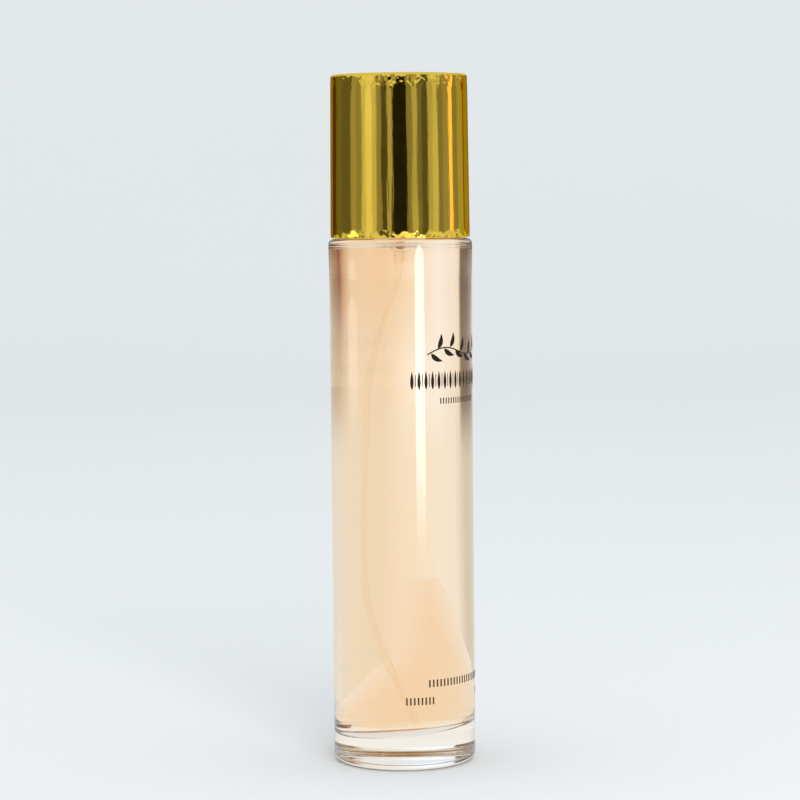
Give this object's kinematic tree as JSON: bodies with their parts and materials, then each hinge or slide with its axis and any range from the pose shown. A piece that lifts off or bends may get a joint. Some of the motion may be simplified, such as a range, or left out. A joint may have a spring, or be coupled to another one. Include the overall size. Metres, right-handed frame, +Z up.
{
  "type": "perfume spray bottle",
  "caption": "Tall cylindrical glass perfume bottle with peach liquid, a crimped spray pump, a dip tube and a mirror-gold lift-off cap.",
  "frame": {"origin": "centre of the base, on the surface that the bottle stands on", "axes": "+Z up along the bottle's axis, -Y towards the front, where the nozzle sprays"},
  "size_m": [0.037, 0.037, 0.1771],
  "materials": {
    "glass": "clear polished moulded glass",
    "perfume": "transparent peach liquid",
    "gold": "mirror-polished gold anodised",
    "liner_plastic": "natural polypropylene, fine moulded matte",
    "tube_plastic": "translucent natural polyethylene",
    "pump_plastic": "natural polypropylene",
    "acetal": "white acetal",
    "rubber": "black nitrile",
    "gasket": "soft polyethylene",
    "ferrule": "drawn gold anodised aluminium",
    "spring_steel": "drawn stainless wire",
    "ball_steel": "polished stainless"
  },
  "bodies": {
    "bottle": {"glass_bottle": "glass", "perfume_liquid": "perfume", "dip_tube": "tube_plastic", "neck_gasket": "gasket", "pump_housing": "pump_plastic", "pump_turret": "acetal", "stem_gasket": "rubber", "crimp_ferrule": "ferrule", "return_spring": "spring_steel", "collar_shell": "gold", "collar_liner": "liner_plastic"},
    "stem": {"pump_stem": "acetal", "pump_plunger": "acetal", "precompression_spring": "spring_steel"},
    "piston": {"pump_piston": "gasket"},
    "ball": {"check_ball": "ball_steel"},
    "actuator": {"actuator_button": "pump_plastic", "actuator_sleeve": "gold", "nozzle_insert": "acetal"},
    "cap": {"cap_shell": "gold", "cap_liner": "liner_plastic"}
  },
  "joints": [
    {"name": "cap_lift", "type": "slide", "parent": "bottle", "child": "cap", "axis": [0, 0, 1], "range_m": [0, 0.045]},
    {"name": "stem_press", "type": "slide", "parent": "bottle", "child": "stem", "axis": [0, 0, -1], "range_m": [0, 0.004], "stiffness_N_per_m": 1000, "springref_m": -0.003, "deforming": ["return_spring"]},
    {"name": "piston_lag", "type": "slide", "parent": "stem", "child": "piston", "axis": [0, 0, 1], "range_m": [0, 0.0004], "deforming": ["precompression_spring"]},
    {"name": "actuator_turn", "type": "hinge", "parent": "stem", "child": "actuator", "pos_m": [0, 0, 0.1611], "axis": [0, 0, 1], "continuous": true},
    {"name": "ball_lift", "type": "slide", "parent": "bottle", "child": "ball", "axis": [0, 0, 1], "range_m": [0, 0.0012]}
  ],
  "couplings": [
    {"joint": "piston_lag", "follows": "stem_press", "ratio": 0.1}
  ]
}
